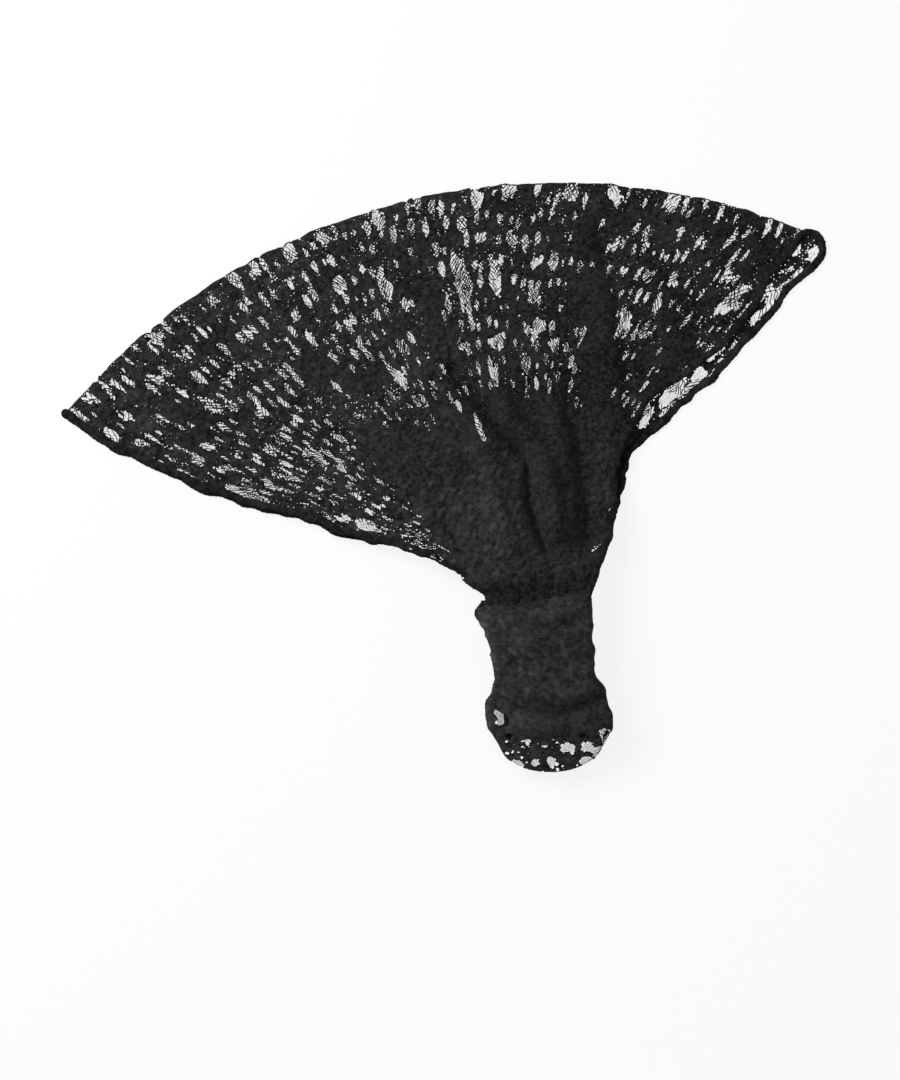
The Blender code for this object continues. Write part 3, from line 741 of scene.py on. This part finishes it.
def place_front(across, along):
    side = front_side(across, along)
    plan = panel_point(side, along)
    lie = front_height(side, along)
    loose = smooth((along - LOOSE_FROM) / LOOSE_REACH) * smooth((1 - np.abs(side)) / LOOSE_REACH)
    for height, width, line in FRONT_FOLDS:
        lie = lie + loose * height * hump(away_from(line, plan), 0, width)
    lie = lie - loose * pleat_drop(plan)
    crumpled = CRUMPLE * (1 - smooth((along - 0.1) / 0.6)) * smooth(along / 0.06)
    lie = lie + crumpled * ripple(side * CRUMPLES[0], along * CRUMPLES[1], 41)
    waves = 1 + patches(plan, SWAY_LENGTH, 42)
    lie = lie + SWAY * loose * waves * smooth((1 - along) / 0.08)
    lie = np.maximum(lie, back_height(side, along) + LAYER_GAP)
    lie = round_into_fold(lie, along)
    nubs_and_highlight = mix(1.0, SPREAD_NUBS, smooth((along - 0.30) / 0.25))
    # flatter nubs at the right and near the mouth paint the yarn darker: painted shade there
    nubs_and_highlight = nubs_and_highlight * mix(1.0, RIGHT_SHADE_NUBS, smooth((side + 0.15) / 0.6))
    nubs_and_highlight = nubs_and_highlight * mix(MOUTH_SHADE_NUBS, 1.0, smooth(along / 0.08))
    return np.column_stack((plan, lie)), nubs_and_highlight * nubs(plan[:, 0], plan[:, 1], 43)


def front_thinness(across, along):
    side = front_side(across, along)
    plan = panel_point(side, along)
    chance = lace_chance(side, along)
    below_fold = 1 - smooth((along - 0.80) / 0.12)
    for width, line in DENSE_STRIPS:
        chance = chance * (1 - STRIP_DENSITY * below_fold * np.exp(-(away_from(line, plan) / width) ** 4))
    return lace_thinness(side, along, chance)


front_layer = knit("front_lace", lace_yarn, panel_net, place_front, front_thinness, YARN_STRAND, 52)
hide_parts("front_lace_layer")
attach(front_layer, "crown")

# Each side of the panel ends in a narrow rolled hem, overlocked with the same yarn. It runs up the edge of
# the front layer, round the tip of the fold in a small loop, and down the edge of the back layer.

HEM_HALF_WIDTH = 0.00150
HEM_HALF_HEIGHT = 0.00070
RIGHT_LOOP_FROM = 0.990  # where along the panel the loop round the right tip starts,
RIGHT_LOOP_TO = 0.970  # and where on the back layer it ends
HEM_OUTSET = 0.0003  # of the roll's middle past the lace's edge
HEM_GAP = 0.0001  # between the roll and what the lace lies on
HEM_POINTS = 240  # of its line along each layer
LOOP_POINTS = 16
HEM_HOLES = (  # where the hem shows through, given as WINDOWS are
    (-0.0330, 0.0078, 0.006, 0.0018), (-0.0420, 0.0158, 0.006, 0.0024), (-0.0530, 0.0195, 0.006, 0.0016),
    (0.0245, 0.0185, 0.007, 0.0014), (0.0285, 0.0090, 0.005, 0.0012), (0.0300, 0.0357, 0.003, 0.0016),
)
OVERLOCK_PITCH = 0.0021  # from one wrap of the overlocking yarn to the next
OVERLOCK_DEPTH = 0.04
HEM_STEP = 0.00045  # between two rings of the modelled roll
ROLL_SIDES = 12
UNEVEN_WRAPS = 0.006  # length in which the wraps get closer or wider
ROLL_LUMPS = (0.16, 0.0042, 1.6)  # height as a share, length, and width as an angle
ROLL_BUMPS = (0.07, 0.0016, 1.0)

hem_yarn = yarn_material("hem_yarn", dark=(0.0050, 0.0050, 0.0054, 1.0), pale=YARN_PALE, clump=0.0022,
                         fibre=0.0005, bump=0.0007)


def along_line(points, step):
    """Points at even steps along a line of points."""
    run = np.concatenate(([0], np.cumsum(np.linalg.norm(np.diff(points, axis=0), axis=1))))
    at = np.linspace(0, run[-1], int(run[-1] / step) + 1)
    return np.column_stack([np.interp(at, run, points[:, axis]) for axis in range(3)]), at


def wrapped_roll(name, material, points, half_wide, half_high, pitch, depth, step, seed):
    """A rolled edge along points, wrapped in slanting turns of yarn, with an uneven thickness."""
    line, at = along_line(points, step)
    ahead = unit(np.gradient(line, axis=0))
    across = unit(np.cross(ahead, (0.0, 0.0, 1.0)))
    upward = np.cross(across, ahead)
    angle = np.linspace(0, 2 * math.pi, ROLL_SIDES, endpoint=False)
    uneven = 0.8 * ripple(at / UNEVEN_WRAPS, 0 * at, seed)[:, None]
    wraps = depth * np.cos(2 * math.pi * at[:, None] / pitch + angle + uneven)
    lumps = 0.0
    for turn, (height, length, width) in enumerate((ROLL_LUMPS, ROLL_BUMPS), 1):
        lumps = lumps + height * ripple(at[:, None] / length, angle / width, seed + turn)
    size = 1 + wraps + lumps
    rings = (line[:, None] + across[:, None] * (half_wide * size * np.cos(angle))[..., None]
             + upward[:, None] * (half_high * size * np.sin(angle))[..., None])
    rings[..., 2] = np.maximum(rings[..., 2], 0)
    count = len(line)
    number = np.arange(count * ROLL_SIDES).reshape(count, ROLL_SIDES)
    turned = np.roll(number, -1, axis=1)
    faces = np.stack((number[:-1], turned[:-1], turned[1:], number[1:]), -1).reshape(-1, 4).tolist()
    faces += [number[0][::-1].tolist(), number[-1].tolist()]
    rings = rings.reshape(-1, 3)
    piece = finish_mesh(name, rings, faces, material, thin=in_window(rings[:, :2], HEM_HOLES))
    bpy.ops.object.mode_set(mode="EDIT")
    bpy.ops.mesh.select_all(action="SELECT")
    bpy.ops.mesh.normals_make_consistent(inside=False)
    bpy.ops.object.mode_set(mode="OBJECT")
    bpy.ops.object.shade_smooth_by_angle(angle=math.radians(60))
    return piece


def hem_line(side):
    """The middle of a hem: up the front layer, round the tip and down the back layer."""
    along = np.linspace(PANEL_END, 1.0 if side < 0 else RIGHT_LOOP_FROM, HEM_POINTS)
    back_along = np.linspace(PANEL_END, 1.0 if side < 0 else RIGHT_LOOP_TO, HEM_POINTS)
    inner = front_side(np.full(along.shape, (side + 1) / 2), along)
    rise = HEM_HALF_HEIGHT - LACE / 2 + HEM_GAP
    front = np.column_stack((panel_point(inner, along), front_height(inner, along) + rise))
    outer = inside(side, back_along, -HEM_OUTSET)
    back = np.column_stack((panel_point(outer, back_along), back_height(outer, back_along) + rise))[::-1]
    outward = -(LEFT_HEM_AT_TIP if side < 0 else RIGHT_HEM_AT_TIP)
    outward = np.append(outward / np.linalg.norm(outward), 0.0)
    middle, reach = (front[-1] + back[0]) / 2, (front[-1] - back[0]) / 2
    angle = np.linspace(0, math.pi, LOOP_POINTS)[1:-1, None]
    bulge = np.linalg.norm(reach[:2])
    return np.concatenate((front, middle + reach * np.cos(angle) + bulge * np.sin(angle) * outward, back))


for hem_name, hem_side in (("left", -1), ("right", 1)):
    hem = wrapped_roll(hem_name + "_rolled_hem", hem_yarn, hem_line(hem_side), HEM_HALF_WIDTH,
                       HEM_HALF_HEIGHT, OVERLOCK_PITCH, OVERLOCK_DEPTH, HEM_STEP, 60 + hem_side)
    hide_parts(hem_name + "_hem")
    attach(hem, "crown")

# The elastic is a flat black woven band, ribbed along its length. It joins the two gathered ends of the
# panel and turns at the nape, inside the casing.

ELASTIC_WIDTH = 0.0370
ELASTIC_THICKNESS = 0.0012
ELASTIC_RIBS = 16
RIB_HEIGHT = 0.00012
RIB_ROOM = 0.0002  # of the thickness, that the ribs take up
ELASTIC_ROWS = 110
ELASTIC_START = 0.0103
CASING_RUN = 0.0540  # from the mouth to the turn at the nape
RUN_HALF = 0.0016  # half the casing's thickness on the elastic
TURN_RADIUS = FRONT_FLOOR / 2
CASING_PATH = 2 * CASING_RUN + math.pi * TURN_RADIUS
MOUTH_DEPTH = 0.0130
MOUTH_TAPER = 0.0200
MOUTH_WIDTH = 0.0475
WAIST_WIDTH = 0.0415
NAPE_WIDTH = 0.0515
WAIST_START = 0.0080
WAIST_DRAW = 0.0180
WAIST_END = 0.0315
TURN_WIDTH = 0.0430
RUCHE_EDGE = 0.0140


def casing_station(distance):
    """For distances along the path from the front mouth round the nape to the back one: the path's middle,
    its outward direction, and the casing's half width and half thickness."""
    on_turn = np.clip((distance - CASING_RUN) / TURN_RADIUS, 0, math.pi)
    is_turn = (on_turn > 0) & (on_turn < math.pi)
    on_front = distance < CASING_PATH / 2
    from_mouth = np.minimum(distance, CASING_PATH - distance)
    half_thick = mix(MOUTH_HALF, RUN_HALF, smooth((from_mouth - MOUTH_DEPTH) / MOUTH_TAPER))
    narrowed = mix(MOUTH_WIDTH, WAIST_WIDTH, smooth((from_mouth - WAIST_START) / WAIST_DRAW))
    width = mix(narrowed, NAPE_WIDTH, smooth((from_mouth - WAIST_END) / RUCHE_EDGE))
    half_wide = mix(width, TURN_WIDTH, np.sin(on_turn) ** 2) / 2
    y = np.where(is_turn, -CASING_RUN - TURN_RADIUS * np.sin(on_turn), -from_mouth)
    on_run = np.where(on_front, FRONT_FLOOR + half_thick, half_thick)
    z = np.where(is_turn, RUN_HALF + TURN_RADIUS + TURN_RADIUS * np.cos(on_turn), on_run)
    middle = np.stack((NECK[0] - y * math.tan(CASING_LEAN), NECK[1] + y, z), -1)
    outward = np.stack((0 * y, -np.sin(on_turn), np.cos(on_turn)), -1)
    return middle, outward, half_wide, half_thick


elastic_weave = yarn_material("elastic_weave", dark=(0.0090, 0.0090, 0.0098, 1.0),
                              pale=(0.0260, 0.0260, 0.0280, 1.0), clump=0.0007, fibre=0.0003, bump=0.0002)
bpy.ops.object.select_all(action="DESELECT")
bpy.ops.mesh.primitive_grid_add(x_subdivisions=8 * ELASTIC_RIBS, y_subdivisions=ELASTIC_ROWS, size=1.0)
elastic = bpy.context.object
elastic.name = "ribbed_elastic"
elastic.data.materials.append(elastic_weave)
grid = np.array([vertex.co for vertex in elastic.data.vertices])
path, outward, _, _ = casing_station(mix(ELASTIC_START, CASING_PATH - ELASTIC_START, grid[:, 1] + 0.5))
path[:, 0] += grid[:, 0] * ELASTIC_WIDTH
path += outward * (RIB_HEIGHT * np.abs(np.cos(math.pi * ELASTIC_RIBS * (grid[:, 0] + 0.5))))[:, None]
elastic.data.vertices.foreach_set("co", path.ravel())
band = elastic.modifiers.new("band_thickness", "SOLIDIFY")
band.thickness = ELASTIC_THICKNESS - RIB_ROOM
band.offset = 0.0
bpy.ops.object.modifier_apply(modifier=band.name)
bpy.ops.object.shade_smooth_by_angle(angle=math.radians(50))
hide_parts("nape_elastic")
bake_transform(elastic)

# The joins are zigzags of polyester thread that sew the gathered panel to the elastic, inside the casing.
# The solids have their shape, so they only get the look of twisted thread.

sewing_thread = yarn_material("sewing_thread", dark=(0.0080, 0.0080, 0.0090, 1.0),
                              pale=(0.0250, 0.0250, 0.0280, 1.0), clump=0.0005, fibre=0.0002, bump=0.0001)
for join in ("front_join_stitching", "back_join_stitching"):
    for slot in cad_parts[join].material_slots:
        slot.material = sewing_thread

# The casing is a tube of the same lace round the elastic. It is ruched on the front, rolls over in a crescent
# above the nape, lies smooth over the elastic's turn, and bags out past it in a rim that shows through.

CASING_NET = ((84, 120, 0.0, 1.0),)
CASING_SLACK = 0.0125  # how far it bags out at the nape
LIP_REACH = 0.0075  # the mouth's edge curls in over this length
LIP_DRAW = 0.50
LIP_DIP = 0.0033  # and its outer side dips under the lace that comes out,
LIP_LEAD = 0.0062  # further in at the left
LIP_NARROW = 0.0012
MOUTH_SHIFT = 0.0009  # the mouth sits to the left of the casing's middle line
SHIFT_REACH = 0.03
LIP_BULGE = 0.0018  # and at the left the lace bulges out behind it
BULGE_AT = 0.005  # from the mouth, and over which length
BULGE_OVER = 0.004
EDGE_WAVE = 0.0011
EDGE_WAVES = 0.0045  # length of a wave
EDGE_BENDS = (  # side, outwards by, at and over which length from the mouth
    (1, -0.0018, 0.0100, 0.0080), (1, 0.0022, 0.0375, 0.0035), (-1, -0.0018, 0.0430, 0.0045),
)
FRONT_FADE = 0.004  # the front's shapes fade out past the start of the turn
SHADED_LIP_NUBS_FROM = 0.009  # from the mouth, which is smooth and so painted darker: painted shade in the crease under the lace
# the nubs, and the highlight painted on them, are stronger at the casing's left than at its right, and weaker
# past the roll, which paints shade on the crescent
CASING_NUBS_LEFT = 1.1
CASING_NUBS_RIGHT = 0.5
CASING_NUBS_SHADED_NAPE = 0.7
CROWNED_BY = 0.0008  # the casing's outer face is a little round
MOUTH_SLANT = math.tan(math.radians(6.0))  # the mouth lies square to the leaning casing
SLANT_REACH = 0.0250
RUCHE_HEIGHT = 0.0017
RUCHE_LENGTH = 0.0130
RUCHE_PITCH = 0.0052
RUCHE_SLANT = 0.02
RUCHE_PUFF = 0.0016  # the ruched lace stands this much off the elastic
ROLL_HEIGHT = 0.0036
ROLL_WIDTH = 0.0040
ROLL_DROP = 0.0085  # below it the lace slopes to the elastic over this
ROLL_DROP_SIDE = 0.0030  # and at the casing's edges over this
VALLEY_DEPTH = 0.0005  # and lies close to it there
VALLEY_WIDTH = 0.003
BAND_HEIGHT = 0.0014  # and below that slope it swells again
BAND_WIDTH = 0.0050
ROLL_SIDE = 0.0400  # from the mouth to the roll at the casing's edges
ROLL_MIDDLE = 0.0500  # and at its middle
RIM_HOLED = 0.66
RIM_HOLE_PITCH = 0.0021
RIM_FADE = 0.005  # length in which its pin-holes come in
RIM_PATCH = 0.005  # size of the places with more or fewer of them
RIM_WINDOWS = (  # the rim's largest openings, given as WINDOWS are
    (0.0285, -0.0580, 0.0085, 0.0060), (0.0262, -0.0648, 0.0060, 0.0070), (0.0205, -0.0630, 0.0065, 0.0062),
    (0.0195, -0.0690, 0.0060, 0.0070), (0.0055, -0.0692, 0.0056, 0.0056), (0.0030, -0.0632, 0.0030, 0.0036),
    (0.0125, -0.0640, 0.0056, 0.0074), (-0.0077, -0.0702, 0.0040, 0.0070), (-0.0010, -0.0700, 0.0040, 0.0040),
    (-0.0150, -0.0520, 0.0066, 0.0060), (-0.0172, -0.0490, 0.0040, 0.0040),
    (-0.0120, -0.0580, 0.0036, 0.0036), (-0.0040, -0.0610, 0.0034, 0.0044),
    (0.0190, -0.0580, 0.0036, 0.0040),
)

casing_yarn = yarn_material("casing_yarn", dark=(0.0090, 0.0090, 0.0097, 1.0),
                            pale=(0.0640, 0.0640, 0.0690, 1.0), clump=0.0024, fibre=YARN_FIBRE,
                            bump=0.0009, hole=RIM_HOLE_PITCH)


def casing_outline(turn, half_wide, half_thick):
    """A point of the casing's flat section with round edges, from its right edge over the outer face."""
    flat = half_wide - half_thick
    quarter = math.pi / 2 * half_thick
    s = turn * (4 * flat + 4 * quarter)
    over = s - quarter
    left = over - 2 * flat
    under = left - 2 * quarter
    last = under - 2 * flat
    sides = (over < 0, left < 0, under < 0, last < 0)
    x = np.select(
        sides,
        (flat + half_thick * np.cos(s / half_thick), flat - over,
         -flat - half_thick * np.sin(left / half_thick), under - flat),
        flat + half_thick * np.sin(last / half_thick))
    off = np.select(
        sides,
        (half_thick * np.sin(s / half_thick), half_thick,
         half_thick * np.cos(left / half_thick), -half_thick),
        -half_thick * np.cos(last / half_thick))
    return x, off


def casing_bag(distance):
    """How far the outer lace hangs past the elastic's turn."""
    on_turn = np.clip((distance - CASING_RUN) / TURN_RADIUS, 0, math.pi)
    return CASING_SLACK * np.sin(on_turn) ** 2


fine = np.linspace(0, CASING_PATH, 2000)
outer_line = casing_station(fine)[0] - np.outer(casing_bag(fine), (0, 1, 0))
outer_run = np.concatenate(([0], np.cumsum(np.linalg.norm(np.diff(outer_line, axis=0), axis=1))))


def casing_distance(along):
    """The distance along the path for a share of the outer lace's length."""
    return np.interp(along * outer_run[-1], outer_run, fine)


def place_casing(turn, along):
    distance = casing_distance(along)
    from_mouth = np.minimum(distance, CASING_PATH - distance)
    middle, outward, half_wide, half_thick = casing_station(distance)
    at_lip = 1 - smooth(from_mouth / LIP_REACH)
    x, off = casing_outline(turn % 1.0, half_wide - LIP_NARROW * at_lip, half_thick * (1 - LIP_DRAW * at_lip))
    to_edge = np.clip(x / half_wide, -1, 1)
    waves = EDGE_WAVE * ripple(from_mouth / EDGE_WAVES, 4 + 3 * np.sign(x), 75)
    bulge = LIP_BULGE * hump(from_mouth, BULGE_AT, BULGE_OVER)
    x = x + to_edge ** 3 * waves - np.maximum(-to_edge, 0) ** 3 * bulge
    for side, reach, at, length in EDGE_BENDS:
        bend = reach * hump(from_mouth, at, length)
        x = x + side * np.maximum(side * to_edge, 0) ** 3 * bend
    crowned = np.where(off > 0, np.sqrt(1 - to_edge ** 2), 0.0)
    rolled_at = mix(ROLL_MIDDLE, ROLL_SIDE, to_edge ** 2)
    above_roll = rolled_at - distance
    ruched = smooth(above_roll / mix(ROLL_DROP, ROLL_DROP_SIDE, to_edge ** 2)) * smooth(distance / LIP_REACH)
    roll = np.exp(-np.maximum(above_roll - ROLL_DROP, 0) / ROLL_WIDTH)
    ruches = RUCHE_HEIGHT * ripple(x / RUCHE_LENGTH, distance / RUCHE_PITCH + x / RUCHE_SLANT, 71)
    on_front = smooth((CASING_RUN + FRONT_FADE - distance) / FRONT_FADE)
    band = BAND_HEIGHT * hump(above_roll, -1.4 * BAND_WIDTH, BAND_WIDTH)
    band = band - VALLEY_DEPTH * hump(above_roll, 0, VALLEY_WIDTH)
    puff = ruched * (RUCHE_PUFF + ROLL_HEIGHT * roll + ruches * (1 - roll)) + CROWNED_BY * crowned + band
    dip = LIP_DIP * (1 - smooth((from_mouth - LIP_LEAD * (0.3 - 0.7 * to_edge)) / LIP_REACH))
    puff = (puff - dip) * on_front * np.sqrt(crowned)
    points = middle + outward * (off + puff)[:, None]
    points[:, 0] += x - MOUTH_SHIFT * (1 - smooth(from_mouth / SHIFT_REACH))
    points[:, 1] += MOUTH_SLANT * x * (1 - smooth(from_mouth / SLANT_REACH)) - casing_bag(distance) * crowned
    points[:, 2] = np.maximum(points[:, 2], YARN_THICKNESS / 2)
    is_outer = np.where(off > -0.5 * half_thick, smooth(2 * outward[:, 2] + 0.6), 0.0)
    nubs_and_highlight = mix(CASING_NUBS_LEFT, CASING_NUBS_RIGHT, smooth((to_edge + 0.8) / 1.2))
    # past the roll and near the mouth flatter nubs paint the yarn darker: painted shade on the crescent and
    # on the lip
    nubs_and_highlight = nubs_and_highlight * mix(CASING_NUBS_SHADED_NAPE, 1.0, smooth(above_roll / 0.01))
    nubs_and_highlight = nubs_and_highlight * smooth(from_mouth / SHADED_LIP_NUBS_FROM)
    return points, nubs(x, distance, 73) * is_outer * nubs_and_highlight


def casing_thinness(turn, along):
    distance = casing_distance(along)
    plan = place_casing(turn, along)[0][:, :2]
    at_nape = smooth((distance - CASING_RUN) / RIM_FADE)
    at_nape = at_nape * smooth((CASING_PATH - CASING_RUN + RIM_FADE - distance) / RIM_FADE)
    holed = RIM_HOLED * at_nape * (0.7 + 0.5 * patches(plan, RIM_PATCH, 77))
    return np.maximum(in_window(plan, RIM_WINDOWS), holed)


def closed_round(net):
    """A net with its two long edges joined, so that it closes into a tube."""
    corners, steps, cells, middles = net
    number = np.arange(len(corners))
    number[corners[:, 0] >= 1] = number[corners[:, 0] <= 0]
    return corners, steps, number[cells], middles


casing_net = closed_round(lace_net(CASING_NET))
casing = knit("ruched_casing", casing_yarn, casing_net, place_casing, casing_thinness, NET_STRAND, 53)
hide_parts("nape_casing")
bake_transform(casing)

# The casing is closed along its left edge by an overlocked seam: its two cut edges lie together, and turns of
# thread wrap over them, so the seam is a thin soft roll that follows every bend of the casing.

SEAM_HALF = 0.0007
SEAM_INSET = 0.0003
SEAM_PITCH = 0.0015  # from one turn of the thread to the next
SEAM_DEPTH = 0.15
SEAM_STEP = 0.00035  # between two rings of the modelled roll
seam_along = np.linspace(0, 1, 400)
seam_line = place_casing(np.full_like(seam_along, 0.5), seam_along)[0]
seam_line[:, 0] += SEAM_INSET
seam = wrapped_roll("overlocked_seam", sewing_thread, seam_line, SEAM_HALF, SEAM_HALF,
                    SEAM_PITCH, SEAM_DEPTH, SEAM_STEP, 81)
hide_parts("casing_seam")
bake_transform(seam)

# The band lies on a white table, which shows as plain white with only a trace of the band's shadow.
# Soft light fills the room, and a soft box at the upper left rakes over the lace, so its nubs and folds show.
# The camera looks straight down.

VIEW_CENTRE = (-0.0004, -0.0268)
VIEW_HEIGHT = 0.4540  # of the table that the picture takes in
VIEW_DISTANCE = 1.2
TABLE_SIZE = 8.0
PLAIN_SHARE = 0.85  # of the table's look that no shadow falls on
TABLE_COLOUR = (0.9, 0.9, 0.9, 1.0)
ROOM_LIGHT = 0.40  # of the white that the camera sees, as light on the band
KEY_PLACE = (-0.75, 0.55, 0.75)
KEY_TURN = (math.radians(-36), math.radians(-39), 0)
KEY_SIZE = 0.6
KEY_POWER = 14.0


def seen_rays(tree):
    """1 for what the camera sees, also in gloss or through glass, and 0 for light that bounces."""
    rays = tree.nodes.new("ShaderNodeLightPath").outputs
    mirrored = add_math(tree, "MAXIMUM", rays["Is Glossy Ray"], rays["Is Transmission Ray"])
    return add_math(tree, "MAXIMUM", rays["Is Camera Ray"], mirrored)


bpy.ops.object.select_all(action="DESELECT")
bpy.ops.mesh.primitive_plane_add(size=TABLE_SIZE, location=(0, 0, 0))
table = bpy.context.object
table.name = "white_table"
table_white = bpy.data.materials.new("white_table")
table_white.use_nodes = True
tree = table_white.node_tree
tree.nodes.clear()
lit = add_node(tree, "BsdfDiffuse", Color=TABLE_COLOUR).outputs["BSDF"]
plain = add_node(tree, "Emission", Color=(1, 1, 1, 1), Strength=1.0).outputs["Emission"]
shade = tree.nodes.new("ShaderNodeMixShader")
tree.links.new(add_math(tree, "MULTIPLY", seen_rays(tree), PLAIN_SHARE), shade.inputs[0])
tree.links.new(lit, shade.inputs[1])
tree.links.new(plain, shade.inputs[2])
shown = tree.nodes.new("ShaderNodeOutputMaterial")
tree.links.new(shade.outputs[0], shown.inputs["Surface"])
table.data.materials.append(table_white)

world = bpy.data.worlds.new("soft_room")
bpy.context.scene.world = world
world.use_nodes = True
tree = world.node_tree
strength = add_node(tree, "MapRange", Value=seen_rays(tree), To_Min=ROOM_LIGHT, To_Max=1.0).outputs["Result"]
tree.links.new(strength, tree.nodes["Background"].inputs["Strength"])
tree.nodes["Background"].inputs["Color"].default_value = (1, 1, 1, 1)

bpy.ops.object.light_add(type="AREA", location=KEY_PLACE)
key = bpy.context.object
key.name = "soft_key"
key.data.size = KEY_SIZE
key.data.energy = KEY_POWER
key.rotation_euler = KEY_TURN

bpy.ops.object.camera_add(location=(*VIEW_CENTRE, VIEW_DISTANCE), rotation=(0, 0, 0))
camera = bpy.context.object
camera.data.lens = camera.data.sensor_width * VIEW_DISTANCE / VIEW_HEIGHT
bpy.context.scene.camera = camera
bpy.context.scene.view_settings.view_transform = "Standard"
